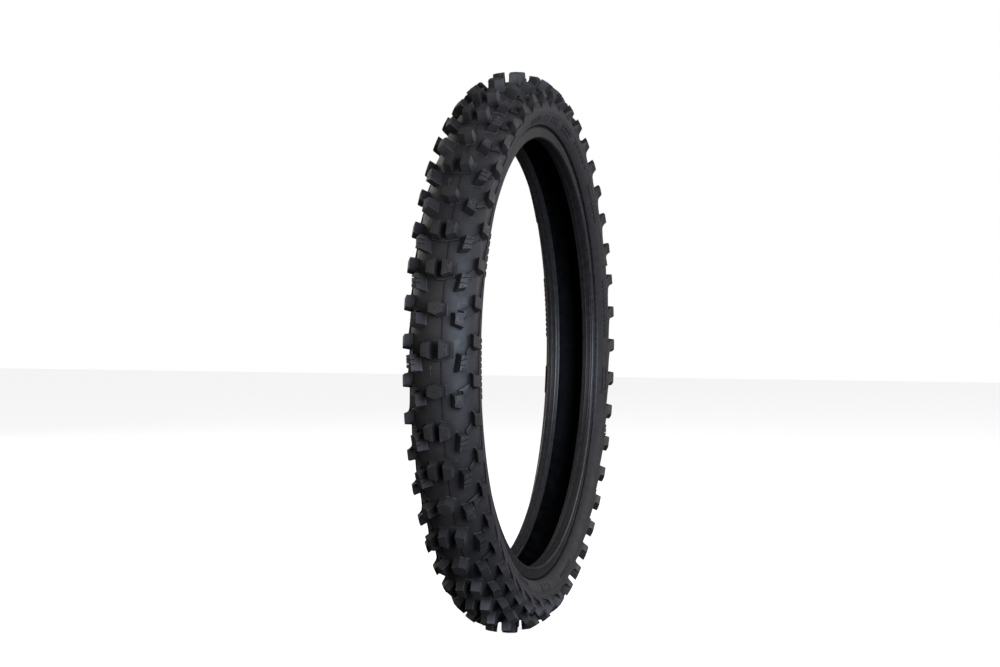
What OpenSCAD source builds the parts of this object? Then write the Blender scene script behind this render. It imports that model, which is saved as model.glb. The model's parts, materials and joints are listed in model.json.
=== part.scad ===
// Off-road motorcycle front tyre, 80/100-21 class, off its wheel.
// The axle runs along Y, Z is up, and the origin is the wheel centre.

/* [Overall size] */
// Outside diameter over the centre knobs
overall_d = 698; // [695:0.5:700]
// Bead seat diameter, the standard for a 21 inch rim
seat_d = 532.6; // [532:0.1:533.4]
// Width of the casing across the sidewalls, without the knobs
casing_w = 83.2; // [82:0.2:85]

/* [Casing walls] */
// Radius of the crown arc across the tread
crown_arc_r = 45; // [44:0.5:46]
// Radius of the shoulder arc, between the crown and the widest point
shoulder_arc_r = 28; // [27:0.5:29]
// Radius of the lower sidewall arc
lower_arc_r = 18; // [17.5:0.1:19]
// Wall at the crown centre, rubber and plies together
crown_t = 7.7; // [7.2:0.1:8.4]
// Wall at the widest point, rubber and plies together
side_t = 4.5; // [4.2:0.1:5]
// Thickness of one rubberised carcass ply
ply_t = 0.9; // [0.8:0.05:1]
// Thickness of the inner liner
liner_t = 0.8; // [0.6:0.05:1]

/* [Tread pattern] */
// Repeats of the five-row pattern round the tyre
repeats = 9; // [8:1:9]
// Height of a centre knob above the crown
knob_h = 15; // [14:0.1:15.5]
// Radius of the arc that the tops of the outer knobs lie on
top_arc_r = 50.7; // [50.3:0.1:52]
// Extra width of a knob at its foot, as a fraction of its width at the top
foot_spread = 0.14; // [0.06:0.02:0.2]
// Height of the tie bars between the intermediate and shoulder knobs
tie_h = 2.4; // [1:0.2:3.4]

/* [Beads] */
// Distance between the toes of the two beads
toe_gap = 31.2; // [30:0.2:33]
// Distance between the heels of the two beads
heel_gap = 62.6; // [62:0.2:64]
// Diameter of one bead wire
wire_d = 1.0; // [0.8:0.05:1.1]
// Rows of wires in a bead core, and wires in each row
wire_rows = 4; // [3:1:4]

/* [Hidden] */

left = -1;
right = 1;
revolve_fn = 180;
arc_step = 4;
crown_r = overall_d / 2 - knob_h;
seat_r = seat_d / 2;
half_w = casing_w / 2;

// Outer contour: tangent arcs, with centres as [axial, radial]
crown_c = [0, crown_r - crown_arc_r];
crown_end = acos((half_w - shoulder_arc_r) / (crown_arc_r - shoulder_arc_r));
wide_r = crown_c[1] + (crown_arc_r - shoulder_arc_r) * sin(crown_end);
shoulder_c = [half_w - shoulder_arc_r, wide_r];
tread_edge = 24;
lower_c = [half_w - lower_arc_r, wide_r];
lower_end = -60;
neck_r = 5;
neck_c = lower_c + (lower_arc_r + neck_r) * [cos(lower_end), sin(lower_end)];
heel_r = 2.6;
heel_c = [heel_gap / 2 - heel_r, seat_r + heel_r];
toe_cut = 1.2;

// Inner contour: tangent arcs that leave the crown thicker than the sidewall
in_shoulder_r = 24;
in_shoulder_c = [half_w - side_t - in_shoulder_r, wide_r];
in_rise = crown_r - crown_t - in_shoulder_r - wide_r;
in_reach = (pow(in_shoulder_c[0], 2) + in_rise * in_rise) / (2 * in_rise);
in_crown_r = in_reach + in_shoulder_r;
in_crown_c = [0, crown_r - crown_t - in_crown_r];
in_crown_end = acos(in_shoulder_c[0] / in_reach);
in_lower_r = lower_arc_r - side_t;

// Layers, as distances out from the inner contour
ply_1 = liner_t;
ply_2 = liner_t + ply_t;
skin = liner_t + 2 * ply_t;
breaker_t = 0.8;
cushion_t = 0.8;
strip_end = 58;

// Bead core and the plies round it
wire_pitch = 1.3;
core_w = wire_rows * wire_pitch + 0.3;
core_y = 24.3;
under_t = 1.2;
wrap_t = 0.6;
core_c = [core_y, seat_r + under_t + ply_t + wrap_t + core_w / 2];
wrap_w = core_w + 2 * wrap_t;
leg_in = core_y - wrap_w / 2;
leg_out = core_y + wrap_w / 2;
ply_floor = seat_r + under_t + ply_t;
leg_top = ply_floor + wrap_w + 1;
turn_up_r = leg_top + 4;
ply_end_r = ply_floor + 2;
ply_1_end = lower_c + (in_lower_r + ply_1) * [cos(lower_end), sin(lower_end)];
ply_2_end = lower_c + (in_lower_r + ply_2) * [cos(lower_end), sin(lower_end)];
skin_end = lower_c + (in_lower_r + skin) * [cos(lower_end), sin(lower_end)];

function flip(p) = [for (i = [len(p) - 1:-1:0]) p[i]];
function tail(p) = [for (i = [1:len(p) - 1]) p[i]];
function unit(v) = v / norm(v);
function arc(c, r, a0, a1) =
    let (n = ceil(abs(a1 - a0) / arc_step))
    [for (i = [0:n]) c + r * [cos(a0 + (a1 - a0) * i / n), sin(a0 + (a1 - a0) * i / n)]];
function bend(a, b, c, n = 6) =
    [for (i = [0:n]) pow(1 - i / n, 2) * a + 2 * i / n * (1 - i / n) * b + pow(i / n, 2) * c];
// Mirrors a path that starts on the centre plane, to run from wall to wall
function full(p) = concat(flip([for (q = tail(p)) [-q[0], q[1]]]), p);
// Moves a path sideways by d, to the left of its direction, with mitred corners
function side_step(p, d) =
    [for (i = [0:len(p) - 1])
        let (a = unit(p[min(i + 1, len(p) - 1)] - p[min(i, len(p) - 2)]),
             b = unit(p[max(i, 1)] - p[max(i - 1, 0)]),
             na = [-a[1], a[0]],
             m = unit(na + [-b[1], b[0]]))
        p[i] + d * m / (m * na)];

function outer_crown(end) =
    concat(arc(crown_c, crown_arc_r, 90, crown_end), tail(arc(shoulder_c, shoulder_arc_r, crown_end, end)));
function inner_crown(d, end) =
    concat(arc(in_crown_c, in_crown_r + d, 90, in_crown_end),
        tail(arc(in_shoulder_c, in_shoulder_r + d, in_crown_end, end)));
function inner_wall(d) =
    concat(inner_crown(d, 0), tail(arc(lower_c, in_lower_r + d, 0, lower_end)));

// Bead paths: the inner ply's two faces, and the outer ply's two faces
inner_ply_bend = bend(ply_1_end, ply_1_end - [7, 4], [leg_in - ply_t, leg_top]);
inner_ply_core = bend(ply_2_end, ply_2_end - [7, 4], [leg_in, leg_top]);
outer_ply_inside = bend(ply_2_end, ply_2_end - [2.6, 1.5], [leg_out + ply_t, turn_up_r]);
outer_ply_outside = bend(skin_end, skin_end - [2.2, 1.3], [leg_out + 2 * ply_t, turn_up_r]);
liner_bend = side_step(inner_ply_bend, -liner_t);

module spin() {
    rotate([-90, 0, 0])
        rotate_extrude($fn = revolve_fn)
            children();
}
// Takes a profile as [axial, radial] points and revolves it about the axle
module ring(p, side = right) {
    spin()
        polygon([for (q = p) [q[1], side * q[0]]]);
}

module tread_base() {
    under = inner_crown(skin + breaker_t + cushion_t, strip_end);
    rim = arc(in_shoulder_c, in_shoulder_r + skin, strip_end, tread_edge);
    color([0.13, 0.13, 0.14])
        ring(concat(full(outer_crown(tread_edge)), flip(full(concat(under, rim)))));
}
module crown_strip(d0, d1) {
    ring(concat(full(inner_crown(d1, strip_end)), flip(full(inner_crown(d0, strip_end)))));
}
module undertread_cushion() {
    color([0.25, 0.22, 0.20])
        crown_strip(skin + breaker_t, skin + breaker_t + cushion_t);
}
module breaker_ply() {
    color([0.45, 0.38, 0.26])
        crown_strip(skin, skin + breaker_t);
}
// This ply ends at the bead's heel, outside the inner ply's turned-up edge
module carcass_ply_outer() {
    out = concat(inner_wall(skin), tail(outer_ply_outside), [[leg_out + 2 * ply_t, ply_end_r]]);
    in = concat(inner_wall(ply_2), tail(outer_ply_inside), [[leg_out + ply_t, ply_end_r]]);
    color([0.55, 0.47, 0.30])
        ring(concat(full(out), flip(full(in))));
}
// This ply passes inside and under each bead core, and turns up outside it
module carcass_ply_inner() {
    core_side = concat(inner_wall(ply_2), tail(inner_ply_core),
        [[leg_in, ply_floor], [leg_out, ply_floor], [leg_out, turn_up_r]]);
    air_side = concat(inner_wall(ply_1), tail(inner_ply_bend),
        [[leg_in - ply_t, ply_floor - ply_t], [leg_out + ply_t, ply_floor - ply_t],
        [leg_out + ply_t, turn_up_r]]);
    color([0.60, 0.52, 0.34])
        ring(concat(full(core_side), flip(full(air_side))));
}
module inner_liner() {
    color([0.10, 0.10, 0.10])
        ring(concat(full(concat(inner_wall(ply_1), tail(inner_ply_bend))),
            flip(full(concat(inner_wall(0), tail(liner_bend))))));
}
module sidewall(side) {
    out = concat(arc(shoulder_c, shoulder_arc_r, tread_edge, 0),
        tail(arc(lower_c, lower_arc_r, 0, lower_end)));
    in = concat(arc(in_shoulder_c, in_shoulder_r + skin, tread_edge, 0),
        tail(arc(lower_c, in_lower_r + skin, 0, lower_end)));
    color([0.12, 0.12, 0.13])
        ring(concat(out, flip(in)), side);
}
// Rubber round the outside of the bead, from the sidewall to the toe
module rim_strip(side) {
    face = concat(arc(neck_c, neck_r, lower_end + 180, 180), arc(heel_c, heel_r, 0, -90),
        [[toe_gap / 2 + toe_cut, seat_r], [toe_gap / 2, seat_r + toe_cut]]);
    air_end = liner_bend[len(liner_bend) - 1];
    back = [air_end, [leg_in - ply_t, leg_top], [leg_in - ply_t, ply_floor - ply_t],
        [leg_out + ply_t, ply_floor - ply_t], [leg_out + ply_t, ply_end_r],
        [leg_out + 2 * ply_t, ply_end_r]];
    color([0.09, 0.09, 0.10])
        ring(concat(face, back, flip(outer_ply_outside)), side);
}
module bead_filler(side) {
    color([0.17, 0.15, 0.14])
        ring(concat(inner_ply_core, [[leg_in, ply_floor + wrap_w], [leg_out, ply_floor + wrap_w],
            [leg_out, turn_up_r]], flip(outer_ply_inside)), side);
}
module centred_box(w) {
    translate([core_c[1] - w / 2, core_c[0] - w / 2])
        square(w);
}
module on_side(side) {
    mirror([0, side == left ? 1 : 0, 0])
        children();
}
module bead_wrap(side) {
    color([0.70, 0.62, 0.42])
        on_side(side)
            spin()
                difference() {
                    centred_box(wrap_w);
                    centred_box(core_w);
                }
}
module wire_places() {
    step = [for (i = [0:wire_rows - 1]) (i - (wire_rows - 1) / 2) * wire_pitch];
    for (a = step)
        for (b = step)
            translate([core_c[1] + a, core_c[0] + b])
                children();
}
module bead_insulation(side) {
    color([0.20, 0.20, 0.20])
        on_side(side)
            spin()
                difference() {
                    centred_box(core_w);
                    wire_places()
                        circle(d = wire_d, $fn = 24);
                }
}
module bead_wires(side) {
    color([0.72, 0.60, 0.38])
        on_side(side)
            spin()
                wire_places()
                    circle(d = wire_d, $fn = 24);
}

// ---- Tread knobs ----
// Rows run round the tyre. In each repeat the centre knobs go: single, split, split, single, split.
rows = 5 * repeats;
row_angle = 360 / rows;
row_zero = 74.87;
function row_turn(k) = row_zero - k * row_angle;
function kind(k) = k % 5;
single_rows = [for (k = [0:rows - 1]) if (kind(k) == 0 || kind(k) == 3) k];
pair_rows = [for (k = [0:rows - 1]) if (kind(k) == 1 || kind(k) == 2) k];
lone_rows = [for (k = [0:rows - 1]) if (kind(k) == 4) k];

top_c = [0, overall_d / 2 - top_arc_r];
centre_top_r = 90;
centre_top_a = 78;
centre_foot_a = 67;
outer_ring_a = 76;
outer_foot_end = 36;
outer_top_end = 28;
tie_ring_end = 38;
pierce = 3;

// A tapered block that points along the local normal of the top arc. Its outline is a list of
// [round, across] points in mm on that arc, clockwise as seen from outside the tyre, and the
// block reaches through the crown and past the knob's top: a ring trims both ends.
module block(turn, y, outline, h, spread = foot_spread) {
    n = len(outline);
    low = 1 + spread * (h + pierce) / h;
    high = 1 - spread * pierce / h;
    tilt = asin(y / top_arc_r);
    points = concat([for (p = outline) [-h - pierce, p[1] * low, p[0] * low]],
        [for (p = outline) [pierce, p[1] * high, p[0] * high]]);
    walls = [for (i = [0:n - 1]) let (j = (i + 1) % n) [i, i + n, j + n, j]];
    rotate([0, -turn, 0])
        translate([top_c[1] + top_arc_r * cos(tilt), y, 0])
            rotate([0, 0, tilt])
                polyhedron(points, concat([[for (i = [0:n - 1]) i]], [[for (i = [n - 1:-1:0]) i + n]], walls));
}
function crown_path(a0, a1) =
    a1 >= crown_end ? arc(crown_c, crown_arc_r, a0, a1)
        : concat(arc(crown_c, crown_arc_r, a0, crown_end), tail(arc(shoulder_c, shoulder_arc_r, crown_end, a1)));
// Rings between the crown and the tops of the knobs, wide enough to hold each kind
module centre_ring() {
    ring(concat(crown_path(180 - centre_foot_a, centre_foot_a),
        arc([0, overall_d / 2 - centre_top_r], centre_top_r, centre_top_a, 180 - centre_top_a)));
}
module outer_ring() {
    ring(concat(crown_path(outer_ring_a, outer_foot_end),
        arc(top_c, top_arc_r, outer_top_end, outer_ring_a)));
}
module tie_ring() {
    ring(concat(crown_path(outer_ring_a, tie_ring_end),
        arc(crown_c, crown_arc_r + tie_h, tie_ring_end, outer_ring_a)));
}

single_out = [[-8.2, 0], [-4.8, 8.5], [4.8, 8.5], [8.2, 0], [4.8, -8.5], [-4.8, -8.5]];
module centre_knobs_single() {
    color([0.15, 0.15, 0.16])
        intersection() {
            centre_ring();
            for (k = single_rows)
                block(row_turn(k), 0, single_out, knob_h);
        }
}
// Half of a split block: its groove face is long, its outer face is short
half_w_top = 10.4;
half_out = [[-10.1, -half_w_top / 2], [-6.3, half_w_top / 2], [6.3, half_w_top / 2], [10.1, -half_w_top / 2]];
pair_groove = 8.8;
lone_groove = 11;
module split_pair(k, groove) {
    for (side = [left, right])
        on_side(side)
            translate([0, groove / 2 + half_w_top / 2, 0])
                block(row_turn(k), 0, half_out, knob_h);
}
module centre_knobs_split() {
    color([0.15, 0.15, 0.16])
        intersection() {
            centre_ring();
            union() {
                for (k = pair_rows)
                    split_pair(k, pair_groove);
                for (k = lone_rows)
                    split_pair(k, lone_groove);
            }
        }
}

siped_out = [[-9.7, -6.7], [-6.4, 4.6], [7.8, 5.9], [9.3, -3.6]];
pair_siped_y = 30.7;
lone_siped_y = 34.1;
siped_turn = -2.45;
module siped_knobs(side) {
    color([0.15, 0.15, 0.16])
        on_side(side)
            intersection() {
                outer_ring();
                union() {
                    for (k = pair_rows)
                        block(row_turn(k) + siped_turn, pair_siped_y, siped_out, knob_h);
                    for (k = lone_rows)
                        block(row_turn(k) + siped_turn, lone_siped_y, siped_out, knob_h);
                }
            }
}
bowtie_out = [[-4.8, -5.7], [-8.5, 6.0], [1.8, 4.7], [8.0, 5.4], [7.6, -5.5], [1.5, -5.1]];
bowtie_y = 28.2;
bowtie_turn = -2.1;
module bowtie_knobs(side) {
    color([0.15, 0.15, 0.16])
        on_side(side)
            intersection() {
                outer_ring();
                for (k = single_rows)
                    block(row_turn(k) + bowtie_turn, bowtie_y, bowtie_out, knob_h);
            }
}

shoulder_turn = 2.1;
shoulder_y = 44;
shoulder_h = 9;
// The top leans forward as it goes outward, and the outer wall flares towards its foot
shoulder_out = [[-5.4, -9.5], [-6.8, -5], [-10.1, 5], [-12.0, 13],
    [4.6, 13], [2.8, 5], [6.8, -5], [8.3, -9.5]];
// Where the knob's walls start on the crown and sidewall arcs, and its two top edges
shoulder_foot_in = 39.4;
shoulder_foot_out = 10;
shoulder_top_in = 34.5;
shoulder_top_out = 22.9;
module shoulder_knobs(side) {
    section = concat(crown_path(shoulder_foot_in, shoulder_foot_out),
        arc(top_c, top_arc_r, shoulder_top_out, shoulder_top_in));
    color([0.15, 0.15, 0.16])
        on_side(side)
            intersection() {
                ring(section);
                for (k = [0:rows - 1])
                    block(row_turn(k) + shoulder_turn, shoulder_y, shoulder_out, shoulder_h);
            }
}

// Low bars that tie each intermediate knob to the shoulder knob ahead of it. Corners are
// [turn from the row, axial place] on the crown, and stop just short of the knobs they join.
tie_y = 31;
tie_tilt = asin(tie_y / top_arc_r);
function crown_at(y) = crown_c[1] + sqrt(crown_arc_r * crown_arc_r - y * y);
function tie_corner(c) =
    let (r = crown_at(c[1]), r0 = top_c[1] + top_arc_r * cos(tie_tilt))
    [c[0] * PI / 180 * r, (c[1] - tie_y) * cos(tie_tilt) - (r - r0) * sin(tie_tilt)];
shoulder_gap_y = 34.3;
pair_tie = [[-1.5, 29.5], [-0.1, shoulder_gap_y], [1.5, shoulder_gap_y], [-0.4, 27.6]];
lone_tie = [[-1.5, 32.0], [-0.4, shoulder_gap_y], [1.5, shoulder_gap_y], [-0.3, 30.2]];
bowtie_tie = [[-1.6, 27.4], [-0.4, shoulder_gap_y], [1.5, shoulder_gap_y], [-0.1, 21.3], [-0.2, 27.2]];
module tie_bar(k, corners) {
    block(row_turn(k), tie_y, [for (c = corners) tie_corner(c)], knob_h, 0);
}
module tie_bars(side) {
    color([0.14, 0.14, 0.15])
        on_side(side)
            intersection() {
                tie_ring();
                union() {
                    for (k = pair_rows)
                        tie_bar(k, pair_tie);
                    for (k = lone_rows)
                        tie_bar(k, lone_tie);
                    for (k = single_rows)
                        tie_bar(k, bowtie_tie);
                }
            }
}

tread_base();
centre_knobs_single();
centre_knobs_split();
siped_knobs(left);  // siped_knobs_left
siped_knobs(right);  // siped_knobs_right
bowtie_knobs(left);  // bowtie_knobs_left
bowtie_knobs(right);  // bowtie_knobs_right
shoulder_knobs(left);  // shoulder_knobs_left
shoulder_knobs(right);  // shoulder_knobs_right
tie_bars(left);  // tie_bars_left
tie_bars(right);  // tie_bars_right
sidewall(left);  // sidewall_left
sidewall(right);  // sidewall_right
rim_strip(left);  // rim_strip_left
rim_strip(right);  // rim_strip_right
undertread_cushion();
breaker_ply();
carcass_ply_outer();
carcass_ply_inner();
inner_liner();
bead_filler(left);  // bead_filler_left
bead_filler(right);  // bead_filler_right
bead_wrap(left);  // bead_wrap_left
bead_wrap(right);  // bead_wrap_right
bead_insulation(left);  // bead_insulation_left
bead_insulation(right);  // bead_insulation_right
bead_wires(left);  // bead_wires_left
bead_wires(right);  // bead_wires_right
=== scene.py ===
"""Looks of an off-road motorcycle front tyre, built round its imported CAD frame.

The axle runs along Y, Z is up and the origin is the wheel centre. Shapes are worked out in
millimetres and turned into metres when a mesh is made. A section point is [axial, radial],
and "round" is the angle about the axle, from +X towards +Z.
"""

import json
import math

import bmesh
import bpy
import numpy as np
from mathutils import Matrix, Vector


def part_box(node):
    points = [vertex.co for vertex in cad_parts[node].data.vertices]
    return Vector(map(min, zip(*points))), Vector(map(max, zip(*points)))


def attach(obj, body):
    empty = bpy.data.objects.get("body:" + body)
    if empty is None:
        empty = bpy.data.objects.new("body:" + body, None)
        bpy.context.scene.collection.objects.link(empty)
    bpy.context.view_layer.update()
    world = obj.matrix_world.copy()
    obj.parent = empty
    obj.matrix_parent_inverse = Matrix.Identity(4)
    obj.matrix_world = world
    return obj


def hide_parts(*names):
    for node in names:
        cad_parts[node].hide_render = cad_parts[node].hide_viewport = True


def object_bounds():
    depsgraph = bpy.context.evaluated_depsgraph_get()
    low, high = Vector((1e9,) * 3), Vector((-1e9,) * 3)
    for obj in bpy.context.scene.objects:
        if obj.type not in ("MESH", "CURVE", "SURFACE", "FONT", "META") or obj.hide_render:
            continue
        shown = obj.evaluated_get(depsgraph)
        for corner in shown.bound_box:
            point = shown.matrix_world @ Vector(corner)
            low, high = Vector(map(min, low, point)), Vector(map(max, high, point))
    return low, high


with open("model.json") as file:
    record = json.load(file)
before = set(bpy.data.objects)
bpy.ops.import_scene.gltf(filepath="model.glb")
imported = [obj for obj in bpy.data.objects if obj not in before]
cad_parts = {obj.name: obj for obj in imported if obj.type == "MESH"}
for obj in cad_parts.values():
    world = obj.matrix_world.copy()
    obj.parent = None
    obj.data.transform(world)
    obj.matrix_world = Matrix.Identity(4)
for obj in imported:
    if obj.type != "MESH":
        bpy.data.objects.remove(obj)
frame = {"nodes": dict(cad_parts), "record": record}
cad_low, cad_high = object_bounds()

MM = 0.001
LEFT, RIGHT = -1, 1
SIDES = {"left": LEFT, "right": RIGHT}


def reach(node, axis):
    """How far a CAD node reaches along an axis, in mm."""
    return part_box(node)[1][axis] / MM


# ---- Sizes, from the frame ----
seat_mount = next(m for m in frame["record"]["mounts"] if m["name"] == "bead_seat_right")
SEAT_R = seat_mount["dims"]["r_mm"]
CROWN_R = round(reach("tread_base", 2), 1)
HALF_W = round(reach("sidewall_right", 1), 1)
TOE_Y = round(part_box("rim_strip_right")[0][1] / MM, 1)
BEAD_W = 15.7
HEEL_Y = TOE_Y + BEAD_W
KNOB_H = 15.0
TOP_R = CROWN_R + KNOB_H

# ---- Section of the casing: tangent arcs ----
CROWN_ARC_R = 45
SHOULDER_ARC_R = 28
LOWER_ARC_R = 18
SIDE_T = 4.5
CROWN_T = 7.7
LINER_T = 0.8
SKIN_T = 2.6
STRIPS_T = SKIN_T + 1.6
TREAD_EDGE = 24
STRIP_END = 58
LOWER_END = -60

CROWN_C = (0, CROWN_R - CROWN_ARC_R)
CROWN_END = math.degrees(math.acos((HALF_W - SHOULDER_ARC_R) / (CROWN_ARC_R - SHOULDER_ARC_R)))
WIDE_R = CROWN_C[1] + (CROWN_ARC_R - SHOULDER_ARC_R) * math.sin(math.radians(CROWN_END))
SHOULDER_C = (HALF_W - SHOULDER_ARC_R, WIDE_R)
LOWER_C = (HALF_W - LOWER_ARC_R, WIDE_R)

IN_SHOULDER_R = 24
IN_SHOULDER_C = (HALF_W - SIDE_T - IN_SHOULDER_R, WIDE_R)
IN_RISE = CROWN_R - CROWN_T - IN_SHOULDER_R - WIDE_R
IN_REACH = (IN_SHOULDER_C[0] ** 2 + IN_RISE ** 2) / (2 * IN_RISE)
IN_CROWN_R = IN_REACH + IN_SHOULDER_R
IN_CROWN_C = (0, CROWN_R - CROWN_T - IN_CROWN_R)
IN_CROWN_END = math.degrees(math.acos(IN_SHOULDER_C[0] / IN_REACH))
IN_LOWER_R = LOWER_ARC_R - SIDE_T

# ---- Arcs that the knob tops lie on, both through the top of the centre knobs ----
OUTER_TOP_R = 50.7
OUTER_TOP_C = TOP_R - OUTER_TOP_R
CENTRE_TOP_R = 90
CENTRE_TOP_C = TOP_R - CENTRE_TOP_R


def arc(centre, radius, start, end, step=2.0):
    """Points of an arc, in degrees from the axle's direction."""
    count = max(1, math.ceil(abs(end - start) / step))
    a = np.radians(np.linspace(start, end, count + 1))
    return np.column_stack([centre[0] + radius * np.cos(a), centre[1] + radius * np.sin(a)])


def join(*paths):
    """Chains paths that share their end points."""
    return np.vstack([np.atleast_2d(paths[0])] + [np.atleast_2d(p)[1:] for p in paths[1:]])


def both_sides(path):
    """Mirrors a path that starts on the centre plane, to run from wall to wall."""
    return np.vstack([path[:0:-1] * [-1, 1], path])


def inner_path(out, end):
    """The casing's inner contour, moved outwards by a distance, from crown to shoulder angle."""
    crown = arc(IN_CROWN_C, IN_CROWN_R + out, 90, IN_CROWN_END)
    return join(crown, arc(IN_SHOULDER_C, IN_SHOULDER_R + out, IN_CROWN_END, end))


FINE_STEP = 0.5
OUTSIDE = join(
    arc(CROWN_C, CROWN_ARC_R, 90, CROWN_END, FINE_STEP),
    arc(SHOULDER_C, SHOULDER_ARC_R, CROWN_END, 0, FINE_STEP),
    arc(LOWER_C, LOWER_ARC_R, 0, LOWER_END, FINE_STEP),
)
ALONG = np.r_[0, np.cumsum(np.hypot(*np.diff(OUTSIDE, axis=0).T))]
WIDEST = int(OUTSIDE[:, 0].argmax())
TANGENT = np.gradient(OUTSIDE, axis=0)
NORMAL = np.column_stack([-TANGENT[:, 1], TANGENT[:, 0]])
NORMAL /= np.hypot(*NORMAL.T)[:, None]


def outside(s, lift=0.0):
    """Section points at a distance s along the outside from the crown's centre, lifted off it."""
    s = np.asarray(s, float)
    point = np.stack([np.interp(s, ALONG, OUTSIDE[:, i]) for i in (0, 1)], -1)
    normal = np.stack([np.interp(s, ALONG, NORMAL[:, i]) for i in (0, 1)], -1)
    return point + np.asarray(lift)[..., None] * normal


def along_at(angle):
    """Distance along the outside to an angle on the shoulder arc."""
    crown = CROWN_ARC_R * math.radians(90 - CROWN_END)
    return crown + SHOULDER_ARC_R * math.radians(CROWN_END - angle)


def crown_radius(y):
    """Radius of the casing's outside at an axial place, above its widest point."""
    return np.interp(np.abs(y), OUTSIDE[:WIDEST, 0], OUTSIDE[:WIDEST, 1])


def outer_top_radius(y):
    """Radius of the arc that the tops of the outer knobs lie on."""
    return OUTER_TOP_C + np.sqrt(np.maximum(OUTER_TOP_R ** 2 - np.square(y), 0))


def centre_top_radius(y):
    """Radius of the flatter arc that the tops of the centre knobs lie on."""
    return CENTRE_TOP_C + np.sqrt(CENTRE_TOP_R ** 2 - np.square(y))


# ---- Meshes ----
RING_STEPS = 720
LINER_STEPS = 540


def smooth_step(x):
    """0 to 1 as x goes from 0 to 1, with soft ends."""
    x = np.clip(x, 0, 1)
    return x * x * (3 - 2 * x)


def stack(shells):
    """Joins (points, faces) shells into one."""
    points, faces, start = [], [], 0
    for p, f in shells:
        points.append(p)
        faces += [tuple(i + start for i in face) for face in f]
        start += len(p)
    return np.vstack(points), faces


def turned(shell, degrees):
    """A shell turned about the axle."""
    points, faces = shell
    c, s = math.cos(math.radians(degrees)), math.sin(math.radians(degrees))
    x, y, z = points.T
    return np.column_stack([x * c - z * s, y, x * s + z * c]), faces


def on_side(shell, side):
    """A right-hand shell, or its mirror image on the left."""
    points, faces = shell
    if side == RIGHT:
        return points, faces
    return points * [1, -1, 1], [face[::-1] for face in faces]


def grid_faces(rows, cols, wrap_rows=False, wrap_cols=False):
    """Quads of a grid of points."""
    faces = []
    for i in range(rows if wrap_rows else rows - 1):
        a, b = i * cols, (i + 1) % rows * cols
        for j in range(cols if wrap_cols else cols - 1):
            k = (j + 1) % cols
            faces.append((a + j, b + j, b + k, a + k))
    return faces


def revolve(profile, steps=RING_STEPS):
    """A closed ring from a closed section, listed so that the inside is on its right."""
    a = np.linspace(0, 2 * math.pi, steps, endpoint=False)[:, None]
    y, r = profile.T
    points = np.stack([r * np.cos(a), np.broadcast_to(y, (steps, len(y))), r * np.sin(a)], -1)
    return points.reshape(-1, 3), grid_faces(steps, len(profile), True, True)


def mesh_of(name, shell):
    """A Blender mesh from a shell in mm."""
    points, faces = shell
    mesh = bpy.data.meshes.new(name)
    mesh.from_pydata((points * MM).tolist(), [], faces)
    mesh.update()
    return mesh


def new_object(name, data):
    """An object linked to the scene."""
    obj = bpy.data.objects.new(name, data)
    bpy.context.scene.collection.objects.link(obj)
    return obj


def turn_faces_out(mesh):
    """Makes each closed shell's faces point outwards."""
    bm = bmesh.new()
    bm.from_mesh(mesh)
    bmesh.ops.recalc_face_normals(bm, faces=bm.faces)
    bm.to_mesh(mesh)
    bm.free()


def piece(node, shell, material, crease=40):
    """Makes the visible piece that stands for a CAD node."""
    name = f"{node}_moulded"
    mesh = mesh_of(name, shell)
    turn_faces_out(mesh)
    mesh.shade_smooth()
    mesh.set_sharp_from_angle(angle=math.radians(crease))
    mesh.materials.append(material)
    obj = new_object(name, mesh)
    weighted = obj.modifiers.new("weighted", "WEIGHTED_NORMAL")
    weighted.keep_sharp = True
    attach(obj, "root")
    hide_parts(node)
    return obj


def cut(shell, cutters):
    """A shell with closed cutter shells taken out of it."""
    obj = new_object("cut", mesh_of("cut", shell))
    turn_faces_out(obj.data)
    tool = new_object("tool", mesh_of("tool", stack(cutters)))
    turn_faces_out(tool.data)
    boolean = obj.modifiers.new("cut", "BOOLEAN")
    boolean.operation = "DIFFERENCE"
    boolean.solver = "EXACT"
    boolean.object = tool
    bpy.context.view_layer.update()
    result = obj.evaluated_get(bpy.context.evaluated_depsgraph_get()).data
    points = np.array([v.co for v in result.vertices]) / MM
    faces = [tuple(p.vertices) for p in result.polygons]
    for o in (obj, tool):
        bpy.data.objects.remove(o)
    return points, faces


# ---- Tread pattern: 45 rows in nine repeats of five ----
ROWS = 45
PITCH = 360 / ROWS
ROW_ZERO = 74.87
SINGLE, PAIR, LONE = "single", "pair", "lone"
KINDS = [SINGLE, PAIR, PAIR, SINGLE, LONE]


def row_turns(*kinds):
    """Turns of the rows whose centre block is of one of these kinds."""
    return [ROW_ZERO - PITCH * k for k in range(ROWS) if KINDS[k % 5] in kinds]


def around(proto, turns):
    """Copies of a shell at every turn, in one."""
    return stack([turned(proto, t) for t in turns])


LONGEST_ROUNDING = 2.0
ROUNDING_STEPS = 3
SEARCH_BELOW, SEARCH_ABOVE, HALVINGS = 6.0, 4.0, 40


def curve(a, b, c, t):
    """A point of the quadratic curve from a to c that b pulls on."""
    return (1 - t) ** 2 * a + 2 * t * (1 - t) * b + t * t * c


def outward_normals(loop):
    """Outward unit normals at the points of a closed flat loop, whichever way it runs."""
    ahead = np.roll(loop, -1, 0)
    run = ahead - np.roll(loop, 1, 0)
    run /= np.maximum(np.hypot(*run.T), 1e-9)[:, None]
    area = np.sum(loop[:, 0] * ahead[:, 1] - ahead[:, 0] * loop[:, 1])
    return np.column_stack([run[:, 1], -run[:, 0]]) * math.copysign(1, area)


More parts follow.
